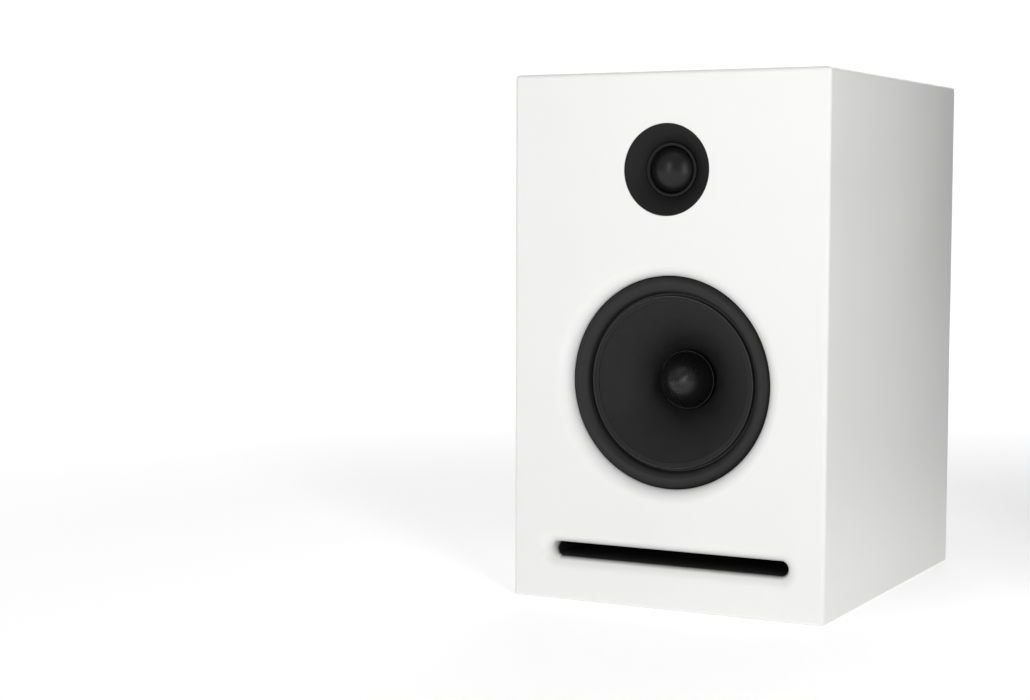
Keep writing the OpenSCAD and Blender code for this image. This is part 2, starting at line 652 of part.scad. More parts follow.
// Wires: round tubes swept along smooth lines through hand-set points
lead_sides = 8;
lead_steps = 3;
function spline_point(p0, p1, p2, p3, t) = 0.5 * (2 * p1 + (p2 - p0) * t
    + (2 * p0 - 5 * p1 + 4 * p2 - p3) * t * t + (3 * p1 - p0 - 3 * p2 + p3) * t * t * t);
function smooth_line(pts) = let (last = len(pts) - 1)
    concat([for (i = [0:last - 1], k = [0:lead_steps - 1])
        spline_point(pts[max(i - 1, 0)], pts[i], pts[i + 1], pts[min(i + 2, last)],
            k / lead_steps)], [pts[last]]);
module tube(pts, r) {
    line = smooth_line(pts);
    last = len(line) - 1;
    m = lead_sides;
    rings = [for (i = [0:last]) let (
        way = line[min(i + 1, last)] - line[max(i - 1, 0)],
        side = cross(way, [0.9, 0.1, 0.05]), u = side / norm(side),
        w = cross(way / norm(way), u))
        for (k = [0:m - 1]) line[i] + r * (cos(360 * k / m) * u + sin(360 * k / m) * w)];
    walls = [for (i = [0:last - 1], k = [0:m - 1])
        [i * m + k, (i + 1) * m + k, (i + 1) * m + (k + 1) % m, i * m + (k + 1) % m]];
    polyhedron(rings, concat([[for (k = [0:m - 1]) k]], walls,
        [[for (k = [m - 1:-1:0]) last * m + k]]));
}
lead_r = 1.1;
lead_end_y = inner_rear_y - board_top;
tag_rear_y = front_y + shelf_d - tag_board_t;
tweeter_tag_y = front_y + horn_rear_d + tweeter_tag_l;
tweeter_tag_z = tweeter_z + tweeter_screw_r;
solder_y = rear_y - tag_e - solder_tag_t - lead_r;
// Input, woofer and tweeter wires, from the crossover board's side
positive_routes = [
    [[red_x, solder_y, 76], [red_x, 67.4, 84], [-4, 66, 96], [8, 68, 105], [12, 74, 109.6],
        [12, lead_end_y, 110]],
    [[2, lead_end_y, 164], [2.3, 72, 164.3], [4, 50, 166.5], [6, 20, 167], [6.3, -20, 166.8],
        [6.2, -50, 165.5], [tag_x, -58, 164.2], [tag_x, tag_rear_y, 164]],
    [[36, lead_end_y, 164], [35.5, 70, 164.3], [33, 58, 168], [30, 46, 180], [18, 20, 205],
        [9, -20, 221], [6, -48, 228], [5.2, -64, 233.6], [tweeter_tag_x, -72, 235.3],
        [tweeter_tag_x, tweeter_tag_y, tweeter_tag_z]]];
negative_routes = [
    [[black_x, solder_y, 76], [black_x, 67.4, 84], [14, 66.5, 95], [19.5, 69, 105],
        [20, 74, 109.6], [20, lead_end_y, 110]],
    [[-6, lead_end_y, 164], [-6, 72, 164.3], [-6.5, 50, 166.5], [-6.5, 20, 167],
        [-6.5, -20, 166.8], [-6.3, -50, 165.5], [-tag_x, -58, 164.2],
        [-tag_x, tag_rear_y, 164]],
    [[30, lead_end_y, 164], [30, 70, 164.3], [28, 58, 168], [24, 46, 180], [8, 20, 203],
        [-3, -20, 220], [-5, -48, 228], [-5.1, -64, 233.6], [-tweeter_tag_x, -72, 235.3],
        [-tweeter_tag_x, tweeter_tag_y, tweeter_tag_z]]];
module positive_leads() color("firebrick") for (route = positive_routes) tube(route, lead_r);
module negative_leads() color("#1a1a1a") for (route = negative_routes) tube(route, lead_r);
// Flexible braid from the former's side, out through the basket's top window
tinsel_r = 0.5;
tinsel_end_d = shelf_d - tag_board_t - tag_t - tinsel_r;
module woofer_tinsel_leads() color("#b87333") at_front(woofer_z) for (side = [-1, 1])
    tube([[side * 4, -12.9, 34.2], [side * 4.2, -16, 32.6], [side * 4.6, -22, 30.4],
        [side * 5, -29, 29.4], [side * 5.4, -36, 30.6], [side * 5.8, -42, 33],
        [side * tag_x, -45.5, tinsel_end_d], [side * tag_x, -49, tinsel_end_d]], tinsel_r);

front_baffle();
left_side();
right_side();
top_panel();
bottom_panel();
rear_panel();
port_lower_board();
port_upper_board();
port_spacers();
window_brace();
acoustic_foam();
woofer_gasket();
woofer_basket();
woofer_surround();
woofer_cone();
woofer_dust_cap();
woofer_former();
woofer_winding();
woofer_spider();
woofer_top_plate();
woofer_magnet();
woofer_yoke();
woofer_tag_board();
woofer_tags();
woofer_tinsel_leads();
woofer_screws();
tweeter_gasket();
tweeter_horn();
tweeter_dome();
tweeter_surround();
tweeter_former();
tweeter_winding();
tweeter_carrier();
tweeter_felt();
tweeter_top_plate();
tweeter_magnet();
tweeter_yoke();
tweeter_tags();
tweeter_screws();
crossover_board();
board_spacers();
board_screws();
choke_bobbins();
choke_windings();
film_capacitor();
electrolytic_capacitor();
ceramic_resistors();
terminal_cup();
terminal_gasket();
terminal_screws();
red_post();
black_post();
red_clamp_washer();
black_clamp_washer();
red_thumb_nut();
black_thumb_nut();
post_lock_nuts();
solder_tags();
positive_leads();
negative_leads();
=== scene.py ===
import json
from math import asin, cos, pi, radians, sin, sqrt

import bpy
from mathutils import Matrix, Vector


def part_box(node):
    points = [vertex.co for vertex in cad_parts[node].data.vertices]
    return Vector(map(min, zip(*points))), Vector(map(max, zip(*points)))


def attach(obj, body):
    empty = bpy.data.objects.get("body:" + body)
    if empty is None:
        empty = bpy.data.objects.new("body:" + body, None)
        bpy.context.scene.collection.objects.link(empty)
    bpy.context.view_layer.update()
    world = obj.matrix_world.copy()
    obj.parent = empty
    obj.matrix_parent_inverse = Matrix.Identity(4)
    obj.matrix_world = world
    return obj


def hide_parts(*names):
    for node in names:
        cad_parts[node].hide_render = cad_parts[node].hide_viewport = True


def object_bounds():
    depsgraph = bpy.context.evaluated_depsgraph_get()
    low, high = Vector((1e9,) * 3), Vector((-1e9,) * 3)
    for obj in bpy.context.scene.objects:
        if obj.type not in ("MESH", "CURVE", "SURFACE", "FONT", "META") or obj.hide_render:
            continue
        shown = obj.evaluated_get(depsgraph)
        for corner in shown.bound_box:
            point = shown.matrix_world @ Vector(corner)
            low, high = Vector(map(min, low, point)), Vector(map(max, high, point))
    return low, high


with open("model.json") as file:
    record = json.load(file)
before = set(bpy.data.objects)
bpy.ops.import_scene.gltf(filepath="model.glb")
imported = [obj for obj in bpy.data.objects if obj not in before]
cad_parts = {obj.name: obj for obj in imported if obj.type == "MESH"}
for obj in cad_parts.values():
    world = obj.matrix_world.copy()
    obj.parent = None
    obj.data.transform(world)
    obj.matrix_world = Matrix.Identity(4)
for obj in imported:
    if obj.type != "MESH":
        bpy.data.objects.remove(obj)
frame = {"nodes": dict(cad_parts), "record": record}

cadLow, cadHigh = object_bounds()
mm = 0.001
frontY, rearY = cadLow.y, cadHigh.y


def middle(node):
    low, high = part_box(node)
    return (low + high) / 2


wooferZ = middle("woofer_cone").z
tweeterZ = middle("tweeter_dome").z
slotZ = middle("port_spacers").z
cupZ = middle("terminal_cup").z

print("stage: materials")


def addNode(tree, kind, place, **inputs):
    node = tree.nodes.new(kind)
    node.location = place
    for key, value in inputs.items():
        if key in node.inputs:
            node.inputs[key].default_value = value
        else:
            setattr(node, key, value)
    return node


def mapped(tree, centre=(0, 0, 0), stretch=(1, 1, 1)):
    coords = addNode(tree, "ShaderNodeTexCoord", (-1300, 0))
    mapping = addNode(tree, "ShaderNodeMapping", (-1120, 0), vector_type="TEXTURE")
    mapping.inputs["Location"].default_value = centre
    mapping.inputs["Scale"].default_value = stretch
    tree.links.new(coords.outputs["Object"], mapping.inputs["Vector"])
    return mapping.outputs["Vector"]


def noise(tree, vector, scale, detail, place, rough=0.55):
    node = addNode(tree, "ShaderNodeTexNoise", place, Scale=scale, Detail=detail, Roughness=rough)
    tree.links.new(vector, node.inputs["Vector"])
    return node.outputs["Fac"]


def ranged(tree, value, low, high, place, fromLow=0.3, fromHigh=0.7):
    node = addNode(tree, "ShaderNodeMapRange", place)
    limits = {"From Min": fromLow, "From Max": fromHigh, "To Min": low, "To Max": high}
    for socket, number in limits.items():
        node.inputs[socket].default_value = number
    tree.links.new(value, node.inputs["Value"])
    return node.outputs["Result"]


def blendColours(tree, share, first, second, place):
    node = addNode(tree, "ShaderNodeMix", place, data_type="RGBA")
    for socket, colour in ((6, first), (7, second)):
        if isinstance(colour, tuple):
            node.inputs[socket].default_value = (*colour, 1)
        else:
            tree.links.new(colour, node.inputs[socket])
    tree.links.new(share, node.inputs["Factor"])
    return node.outputs[2]


def mathNode(tree, kind, first, second, place):
    node = addNode(tree, "ShaderNodeMath", place, operation=kind)
    for socket, value in ((0, first), (1, second)):
        if isinstance(value, (int, float)):
            node.inputs[socket].default_value = value
        else:
            tree.links.new(value, node.inputs[socket])
    return node.outputs[0]


def shade(colour, factor):
    return tuple(min(1, c * factor) for c in colour)


# Heights that the patterns give the bump, each from 0 to 1
def patternHeight(tree, kind, scale, centre):
    if kind == "turned":  # fine rings round the Y axis
        vector = mapped(tree, centre)
        wave = addNode(tree, "ShaderNodeTexWave", (-900, -700), wave_type="RINGS", rings_direction="Y",
                       Scale=scale, Distortion=0.6, Detail=2)
        wave.inputs["Detail Scale"].default_value = 3
        tree.links.new(vector, wave.inputs["Vector"])
        return wave.outputs["Fac"]
    if kind == "brushed":  # long scratches along X
        return noise(tree, mapped(tree, centre, (30, 1, 1)), scale, 4, (-900, -700))
    if kind == "weave":  # crossing threads
        vector = mapped(tree, centre)
        threads = []
        for step, direction in enumerate(("X", "Z")):
            wave = addNode(tree, "ShaderNodeTexWave", (-900, -700 - 260 * step), bands_direction=direction,
                           Scale=scale, Distortion=0.4, Detail=1)
            tree.links.new(vector, wave.inputs["Vector"])
            threads.append(wave.outputs["Fac"])
        return mathNode(tree, "MAXIMUM", threads[0], threads[1], (-680, -760))
    if kind == "cells":  # open foam or moulded grain
        cell = addNode(tree, "ShaderNodeTexVoronoi", (-900, -700), Scale=scale, feature="SMOOTH_F1")
        tree.links.new(mapped(tree, centre), cell.inputs["Vector"])
        return cell.outputs["Distance"]
    if kind == "fibres":  # pressed wood fibres, lying flat in the board
        return noise(tree, mapped(tree, centre, (6, 6, 1)), scale, 6, (-900, -700), 0.7)
    return noise(tree, mapped(tree, centre), scale, 5, (-900, -700), 0.6)


dustColour = (0.35, 0.34, 0.33)
speckHeight = 0.3  # the specks' share of the bump


def makeMaterial(name, look, centre=(0, 0, 0)):
    made = bpy.data.materials.new(name)
    made.use_nodes = True
    tree = made.node_tree
    shader = tree.nodes["Principled BSDF"]
    vector = mapped(tree)
    base = look["base"]
    cloud = noise(tree, vector, look.get("cloudScale", 60), 5, (-900, 300))
    tone = look.get("tone", 0.12)
    patchy = ranged(tree, cloud, 0, 1, (-680, 300))
    colour = blendColours(tree, patchy, shade(base, 1 - tone), shade(base, 1 + tone), (-460, 300))
    speck = noise(tree, vector, look.get("speckScale", 900), 3, (-900, 0))
    if "dust" in look:  # pale dust or scuffs, in small spots
        spots = ranged(tree, speck, 0, look["dust"], (-680, 60), 0.62, 0.72)
        colour = blendColours(tree, spots, colour, dustColour, (-250, 260))
    tree.links.new(colour, shader.inputs["Base Color"])
    rough, spread = look["rough"], look.get("spread", 0.06)
    both = mathNode(tree, "ADD", cloud, speck, (-680, -160))
    tree.links.new(ranged(tree, both, rough - spread, rough + spread, (-460, -160), 0.75, 1.25),
                   shader.inputs["Roughness"])
    shader.inputs["Metallic"].default_value = look.get("metal", 0)
    shader.inputs["Specular IOR Level"].default_value = look.get("specular", 0.5)
    height = patternHeight(tree, look.get("pattern", "grain"), look.get("patternScale", 1500), centre)
    grain = mathNode(tree, "MULTIPLY", speck, speckHeight, (-460, -500))
    bump = addNode(tree, "ShaderNodeBump", (-220, -400))
    bump.inputs["Strength"].default_value = look.get("bump", 0.3)
    bump.inputs["Distance"].default_value = look.get("depth", 0.00005)
    tree.links.new(mathNode(tree, "ADD", height, grain, (-300, -600)), bump.inputs["Height"])
    tree.links.new(bump.outputs["Normal"], shader.inputs["Normal"])
    return made


looks = {
    "cabinet_paint": dict(base=(0.80, 0.80, 0.795), tone=0.012, cloudScale=14, rough=0.36, spread=0.05,
                          speckScale=700, patternScale=420, bump=0.12, depth=0.00003),
    "port_black": dict(base=(0.012, 0.012, 0.012), tone=0.3, rough=0.75, patternScale=900, bump=0.5,
                       depth=0.0001),
    "raw_board": dict(base=(0.42, 0.29, 0.16), tone=0.25, cloudScale=90, rough=0.85, pattern="fibres",
                      patternScale=900, bump=0.6, depth=0.0002),
    "damping_foam": dict(base=(0.05, 0.05, 0.055), tone=0.4, rough=0.95, pattern="cells",
                         patternScale=700, bump=1.0, depth=0.0006),
    "gasket_foam": dict(base=(0.012, 0.012, 0.012), tone=0.3, rough=0.9, pattern="cells",
                        patternScale=1500, bump=0.7, depth=0.0002),
    "basket_paint": dict(base=(0.02, 0.02, 0.021), tone=0.2, rough=0.42, patternScale=1100, bump=0.5,
                         depth=0.00008),
    "surround_rubber": dict(base=(0.014, 0.014, 0.0145), tone=0.1, rough=0.46, spread=0.05,
                            patternScale=1600, bump=0.25, depth=0.00004, dust=0.03, specular=0.3),
    "cone_black": dict(base=(0.013, 0.0127, 0.0127), tone=0.14, cloudScale=130, rough=0.5, spread=0.07,
                       pattern="fibres", patternScale=1400, bump=0.5, depth=0.00008, specular=0.2),
    "cap_black": dict(base=(0.004, 0.004, 0.004), tone=0.15, rough=0.29, spread=0.03, patternScale=1500,
                      bump=0.05, depth=0.00002, specular=0.42),
    "coil_foil": dict(base=(0.72, 0.72, 0.73), metal=1, rough=0.35, pattern="brushed", patternScale=900,
                      bump=0.3),
    "copper_wire": dict(base=(0.72, 0.30, 0.14), metal=1, tone=0.2, rough=0.3, pattern="turned",
                        patternScale=900, bump=0.8, depth=0.0001),
    "spider_cloth": dict(base=(0.42, 0.27, 0.09), tone=0.2, rough=0.85, pattern="weave",
                         patternScale=500, bump=0.8, depth=0.0002),
    "motor_steel": dict(base=(0.52, 0.50, 0.44), metal=1, tone=0.15, rough=0.36, pattern="turned",
                        patternScale=500, bump=0.3, depth=0.00005),
    "ferrite": dict(base=(0.045, 0.045, 0.05), tone=0.25, rough=0.6, patternScale=800, bump=0.6,
                    depth=0.0001, dust=0.15),
    "tag_laminate": dict(base=(0.20, 0.09, 0.035), tone=0.2, rough=0.55, pattern="fibres",
                         patternScale=800, bump=0.3),
    "tinned_brass": dict(base=(0.75, 0.72, 0.66), metal=1, tone=0.1, rough=0.32, pattern="brushed",
                         patternScale=900, bump=0.3),
    "black_screws": dict(base=(0.025, 0.025, 0.027), metal=0.6, tone=0.2, rough=0.38, patternScale=1500,
                         bump=0.3, dust=0.2),
    "zinc_fasteners": dict(base=(0.62, 0.62, 0.63), metal=1, tone=0.12, rough=0.3, pattern="turned",
                           patternScale=700, bump=0.2),
    "horn_plastic": dict(base=(0.009, 0.009, 0.009), tone=0.1, rough=0.55, spread=0.05, pattern="cells",
                         patternScale=2600, bump=0.35, depth=0.00006, specular=0.2),
    "dome_cloth": dict(base=(0.005, 0.005, 0.005), tone=0.12, rough=0.33, spread=0.04, pattern="weave",
                       patternScale=900, bump=0.08, depth=0.00003, specular=0.33),
    "felt": dict(base=(0.10, 0.10, 0.10), tone=0.3, rough=0.95, patternScale=1800, bump=1.0,
                 depth=0.0003),
    "circuit_board": dict(base=(0.02, 0.13, 0.045), tone=0.15, rough=0.35, pattern="weave",
                          patternScale=260, bump=0.2),
    "nylon": dict(base=(0.70, 0.67, 0.57), tone=0.06, rough=0.45, patternScale=900, bump=0.2),
    "film_sleeve": dict(base=(0.60, 0.40, 0.04), tone=0.08, rough=0.25, patternScale=600, bump=0.15),
    "can_sleeve": dict(base=(0.02, 0.06, 0.28), tone=0.08, rough=0.25, patternScale=600, bump=0.15),
    "resistor_body": dict(base=(0.68, 0.67, 0.62), tone=0.12, rough=0.8, patternScale=900, bump=0.6,
                          depth=0.0001),
    "cup_plastic": dict(base=(0.018, 0.018, 0.018), tone=0.12, rough=0.5, pattern="cells",
                        patternScale=1300, bump=0.5, depth=0.00012, dust=0.06),
    "gold_plate": dict(base=(0.88, 0.60, 0.22), metal=1, tone=0.06, rough=0.2, spread=0.05,
                       pattern="turned", patternScale=900, bump=0.15, depth=0.00003),
    "red_plastic": dict(base=(0.42, 0.012, 0.012), tone=0.08, rough=0.3, patternScale=900, bump=0.2,
                        dust=0.05),
    "black_plastic": dict(base=(0.014, 0.014, 0.014), tone=0.12, rough=0.32, patternScale=900, bump=0.2,
                          dust=0.06),
    "red_wire": dict(base=(0.40, 0.015, 0.015), tone=0.1, rough=0.45, patternScale=700, bump=0.2),
    "black_wire": dict(base=(0.016, 0.016, 0.016), tone=0.1, rough=0.45, patternScale=700, bump=0.2),
}
materials = {slot: makeMaterial(slot, look) for slot, look in looks.items()}

# A turned pattern is centred on the piece that it runs round
turnedAbout = {"woofer_yoke": wooferZ, "woofer_top_plate": wooferZ, "woofer_winding": wooferZ,
               "tweeter_yoke": tweeterZ, "tweeter_top_plate": tweeterZ, "tweeter_winding": tweeterZ}
for part in frame["record"]["subparts"]:
    node, slot = frame["nodes"][part["node"]], part["material_slot"]
    finish = materials[slot]
    if part["node"] in turnedAbout:
        finish = makeMaterial(part["node"], looks[slot], (0, 0, turnedAbout[part["node"]]))
    node.data.materials.clear()
    node.data.materials.append(finish)

print("stage: helpers")


def newPiece(name):
    piece = bpy.context.object
    piece.name = piece.data.name = name
    bpy.ops.object.transform_apply(location=True, rotation=True, scale=True)
    return piece


def setActive(piece):
    if bpy.context.object and bpy.context.object.mode != "OBJECT":
        bpy.ops.object.mode_set(mode="OBJECT")
    bpy.ops.object.select_all(action="DESELECT")
    piece.select_set(True)
    bpy.context.view_layer.objects.active = piece


# Selects vertices, edges or faces whose middle passes the test, and stays in edit mode
def pick(piece, kind, test):
    setActive(piece)
    mesh = piece.data
    for group in (mesh.vertices, mesh.edges, mesh.polygons):
        group.foreach_set("select", [False] * len(group))
    if kind == "vertices":
        for vertex in mesh.vertices:
            vertex.select = test(vertex.co)
    elif kind == "edges":
        for edge in mesh.edges:
            edge.select = test(*(mesh.vertices[v].co for v in edge.vertices))
    else:
        for face in mesh.polygons:
            face.select = test(face.center, face.normal)
    bpy.context.tool_settings.mesh_select_mode = (kind == "vertices", kind == "edges", kind == "faces")
    bpy.ops.object.mode_set(mode="EDIT")


def addModifier(piece, kind, **settings):
    setActive(piece)
    modifier = piece.modifiers.new(kind.title(), kind)
    for key, value in settings.items():
        setattr(modifier, key, value)
    bpy.ops.object.modifier_apply(modifier=modifier.name)


# Flat faces stay flat up to their rounded edges
def smooth(piece, angle=35):
    setActive(piece)
    bpy.ops.object.shade_smooth_by_angle(angle=radians(angle))
    addModifier(piece, "WEIGHTED_NORMAL", keep_sharp=True, weight=100)


def outward(piece):
    pick(piece, "faces", lambda centre, normal: True)
    bpy.ops.mesh.remove_doubles(threshold=1e-6)
    bpy.ops.mesh.normals_make_consistent(inside=False)
    setActive(piece)


def place(piece, body, slot, *nodes):
    setActive(piece)
    piece.data.materials.clear()
    piece.data.materials.append(materials[slot])
    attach(piece, body)
    if nodes:
        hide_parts(*nodes)
    return piece


# Points (radius, depth) on an arc round a middle, from one angle to the other
def arc(middleR, middleD, radius, start, end, steps):
    angles = [radians(start + (end - start) * i / steps) for i in range(steps + 1)]
    return [(middleR + radius * cos(a), middleD + radius * sin(a)) for a in angles]


nearAxis = 0.1  # a closed end starts as a ring this small, in mm, which is then merged


# A circle is pushed along the profile of (radius, depth) in mm, ring by ring
def turn(name, profile, x, z, sides=144, fromRear=False, poles=()):
    wayIn, face = (-1, rearY) if fromRear else (1, frontY)

    def at(depth):
        return x, face + wayIn * depth * mm, z

    radius, depth = profile[0]
    bpy.ops.object.select_all(action="DESELECT")
    bpy.ops.mesh.primitive_circle_add(vertices=sides, radius=radius * mm, location=at(depth),
                                      rotation=(pi / 2, pi / sides, 0))
    piece = newPiece(name)
    bpy.context.tool_settings.mesh_select_mode = (False, True, False)
    bpy.ops.object.mode_set(mode="EDIT")
    bpy.ops.mesh.select_all(action="SELECT")
    for nextRadius, nextDepth in profile[1:]:
        bpy.ops.mesh.extrude_region_move(
            TRANSFORM_OT_translate={"value": (0, wayIn * (nextDepth - depth) * mm, 0)})
        size = nextRadius / radius
        bpy.ops.transform.resize(value=(size, 1, size), center_override=at(nextDepth))
        radius, depth = nextRadius, nextDepth
    if poles:  # the first and last rings close to points
        for poleDepth in poles:
            atPole = Vector(at(poleDepth))
            pick(piece, "vertices", lambda co: (co - atPole).length < 1.5 * nearAxis * mm)
            bpy.ops.mesh.merge(type="CENTER")
    else:
        bpy.ops.mesh.select_all(action="DESELECT")
        bpy.ops.mesh.select_non_manifold(extend=False, use_wire=False, use_boundary=True,
                                         use_multi_face=False, use_non_contiguous=False, use_verts=False)
        bpy.ops.mesh.bridge_edge_loops()
    outward(piece)
    return piece


# A box from low to high, in metres
def block(name, low, high):
    bpy.ops.object.select_all(action="DESELECT")
    size = [high[i] - low[i] for i in range(3)]
    bpy.ops.mesh.primitive_cube_add(size=1, location=[(low[i] + high[i]) / 2 for i in range(3)], scale=size)
    return newPiece(name)


def bevelEdges(piece, width, steps, test):
    pick(piece, "edges", test)
    bpy.ops.mesh.bevel(offset=width, segments=steps, profile=0.5, affect="EDGES", clamp_overlap=True)
    setActive(piece)


# A plate with round corners, its faces square to Y
def roundedPlate(name, width, height, corner, y0, y1, z, steps=8):
    halfWide, halfHigh = width / 2 * mm, height / 2 * mm
    plate = block(name, (-halfWide, y0, z - halfHigh), (halfWide, y1, z + halfHigh))
    bevelEdges(plate, corner * mm, steps, lambda a, b: abs(a.y - b.y) > 1e-5)
    return plate


def cut(piece, *cutters):
    for cutter in cutters:
        addModifier(piece, "BOOLEAN", operation="DIFFERENCE", solver="EXACT", object=cutter)
        bpy.data.objects.remove(cutter)


print("stage: cabinet")
cabinet = dict(edgeRadius=2.0, edgeSteps=6, seam=0.25, flareSteps=14, flareRadius=7.0,
               wooferThroat=50.7, wooferLand=7.4, wooferRebate=63.5,
               hornHole=21.6, hornLand=8.2, hornRebate=30.3, hornEdge=0.35,
               slotLength=121.5, slotHeight=6.5, cutFrom=-2, cutTo=20)
rearOpening = dict(rebateW=84.4, rebateH=62.4, rebateCorner=5, rebateDepth=2.5, width=67.8, height=45.8,
                   corner=4, cutDepth=20, cutPast=2)


# The whole box with round edges, trimmed to one panel
def panel(name):
    low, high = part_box(name)
    piece = block(name + "_shell", cadLow, cadHigh)
    bevelEdges(piece, cabinet["edgeRadius"] * mm, cabinet["edgeSteps"], lambda a, b: True)
    for axis in range(3):
        for limit, edge, sign in ((low[axis], cadLow[axis], -1), (high[axis], cadHigh[axis], 1)):
            if abs(limit - edge) < 0.1 * mm:
                continue
            pick(piece, "faces", lambda centre, normal: True)
            point, normal = [0, 0, 0], [0, 0, 0]
            point[axis], normal[axis] = limit, sign
            bpy.ops.mesh.bisect(plane_co=point, plane_no=normal, use_fill=True, clear_outer=True)
    outward(piece)
    return piece


for name in ("left_side", "right_side", "top_panel", "bottom_panel"):
    piece = panel(name)
    smooth(piece)
    place(piece, "cabinet", "cabinet_paint", name)

baffle = panel("front_baffle")
start, end = cabinet["cutFrom"], cabinet["cutTo"]
throat, flare = cabinet["wooferThroat"], cabinet["flareRadius"]
land, rebate = cabinet["wooferLand"], cabinet["wooferRebate"]
wooferCutter = turn("wooferCutter", [(nearAxis, start), (throat + flare, start)]
                    + arc(throat + flare, flare, flare, -90, -180, cabinet["flareSteps"])
                    + [(throat, land), (rebate, land), (rebate, end), (nearAxis, end)],
                    0, wooferZ, 192, poles=(start, end))
hole, edge = cabinet["hornHole"], cabinet["hornEdge"]
land, rebate = cabinet["hornLand"], cabinet["hornRebate"]
tweeterCutter = turn("tweeterCutter", [(nearAxis, start), (hole + edge, start)]
                     + arc(hole + edge, edge, edge, -90, -180, 4)
                     + [(hole, land), (rebate, land), (rebate, end), (nearAxis, end)],
                     0, tweeterZ, 144, poles=(start, end))
half = cabinet["slotHeight"] / 2
slotCutter = turn("slotCutter", [(nearAxis, start), (half + flare, start)]
                  + arc(half + flare, flare, flare, -90, -180, cabinet["flareSteps"])
                  + [(half, end), (nearAxis, end)], 0, slotZ, 64, poles=(start, end))
run = (cabinet["slotLength"] / 2 - half) * mm
for side in (-1, 1):  # the round cutter is pulled apart into a long slot
    pick(slotCutter, "vertices", lambda co: co.x * side > 1e-6)
    bpy.ops.transform.translate(value=(side * run, 0, 0))
outward(slotCutter)
cut(baffle, wooferCutter, tweeterCutter, slotCutter)
smooth(baffle)
place(baffle, "cabinet", "cabinet_paint", "front_baffle")
# Settings, in mm, for the port's black paint and the painted shade in black over the slot's lower lip
portBlackAndShade = dict(fromDepth=2.2, toDepth=5.2, laterAtEnd=5.6, endX=(-60.5, -55.5), laterAtTop=3,
                 topZ=(-1, 2), reachX=74, reachZ=14, ragged=0.1, raggedScale=220)


# The port's black paint inside the slot, spreading as painted shade in the same black over the lower lip of
# the slot's rounded mouth; the black starts deeper at the left end and at the top
def paintPortBlackAndShade(made):
    tree = made.node_tree
    shader = tree.nodes["Principled BSDF"]
    vector = mapped(tree, (0, frontY, slotZ))
    parts = addNode(tree, "ShaderNodeSeparateXYZ", (-900, 700))
    tree.links.new(vector, parts.inputs[0])
    ragged = portBlackAndShade["ragged"] * mm
    patches = noise(tree, vector, portBlackAndShade["raggedScale"], 4, (-900, 900))
    edgeNoise = ranged(tree, patches, -ragged, ragged, (-680, 900))
    lateAtEnd = ranged(tree, parts.outputs["X"], portBlackAndShade["laterAtEnd"] * mm, 0, (-680, 700),
                       *(limit * mm for limit in portBlackAndShade["endX"]))
    lateAtTop = ranged(tree, parts.outputs["Z"], 0, portBlackAndShade["laterAtTop"] * mm, (-680, 600),
                       *(limit * mm for limit in portBlackAndShade["topZ"]))
    late = mathNode(tree, "ADD", lateAtEnd, lateAtTop, (-460, 650))
    roughDepth = mathNode(tree, "ADD", parts.outputs["Y"], edgeNoise, (-460, 800))
    depth = mathNode(tree, "SUBTRACT", roughDepth, late, (-350, 800))
    # Share of black: real port paint deep in the slot, painted shade on the lower lip
    blackAndShade = ranged(tree, depth, 0, 1, (-250, 800), portBlackAndShade["fromDepth"] * mm, portBlackAndShade["toDepth"] * mm)
    for axis, reach in (("X", portBlackAndShade["reachX"]), ("Z", portBlackAndShade["reachZ"])):
        away = mathNode(tree, "ABSOLUTE", parts.outputs[axis], 0, (-460, 1000))
        near = mathNode(tree, "LESS_THAN", away, reach * mm, (-250, 1000))
        blackAndShade = mathNode(tree, "MULTIPLY", blackAndShade, near, (-60, 800))
    black = looks["port_black"]
    paint = shader.inputs["Base Color"].links[0].from_socket
    painted = blendColours(tree, blackAndShade, paint, black["base"], (-60, 500))
    tree.links.new(painted, shader.inputs["Base Color"])
    gloss = shader.inputs["Roughness"].links[0].from_socket
    matt = mathNode(tree, "MULTIPLY", blackAndShade, black["rough"], (-250, 500))
    tree.links.new(mathNode(tree, "MAXIMUM", gloss, matt, (-60, 300)), shader.inputs["Roughness"])


bafflePaint = makeMaterial("baffle_paint", looks["cabinet_paint"])
paintPortBlackAndShade(bafflePaint)
baffle.data.materials[0] = bafflePaint

rear = panel("rear_panel")
bevelEdges(rear, cabinet["seam"] * mm, 2, lambda a, b: a.y > rearY - 1e-5 and b.y > rearY - 1e-5)
cutPast = rearY + rearOpening["cutPast"] * mm
cut(rear,
    roundedPlate("rebateCutter", rearOpening["rebateW"], rearOpening["rebateH"],
                 rearOpening["rebateCorner"], rearY - rearOpening["rebateDepth"] * mm, cutPast, cupZ),
    roundedPlate("openingCutter", rearOpening["width"], rearOpening["height"], rearOpening["corner"],
                 rearY - rearOpening["cutDepth"] * mm, cutPast, cupZ))
smooth(rear)
place(rear, "cabinet", "cabinet_paint", "rear_panel")

print("stage: woofer")
surround = dict(middleR=46.8, middleD=9.4, crestR=4.1, innerR=3.3, steps=22, flangeR=57, flangeFront=8.6,
                flangeRear=9.4, filletR=51.35, fillet=0.5)
groove = [(42.6, 9.8), (42.35, 10.1), (41.45, 10.1), (41.2, 9.4), (39.2, 9.4), (39.2, 10.7), (43.5, 10.7)]
rollR, rollD = surround["middleR"], surround["middleD"]
flangeR, filletR, fillet = surround["flangeR"], surround["filletR"], surround["fillet"]
roll = turn("surround_roll",
            [(flangeR, surround["flangeFront"]), (filletR, surround["flangeFront"])]
            + arc(filletR, surround["flangeFront"] - fillet, fillet, 90, 165, 4)
            + arc(rollR, rollD, surround["crestR"], -16, -174, surround["steps"])
            + groove  # takes the lip of the cone
            + arc(rollR, rollD, surround["innerR"], -180, 0, surround["steps"])
            + [(flangeR, surround["flangeRear"])], 0, wooferZ, 180)
smooth(roll, 50)
place(roll, "cabinet", "surround_rubber", "woofer_surround")

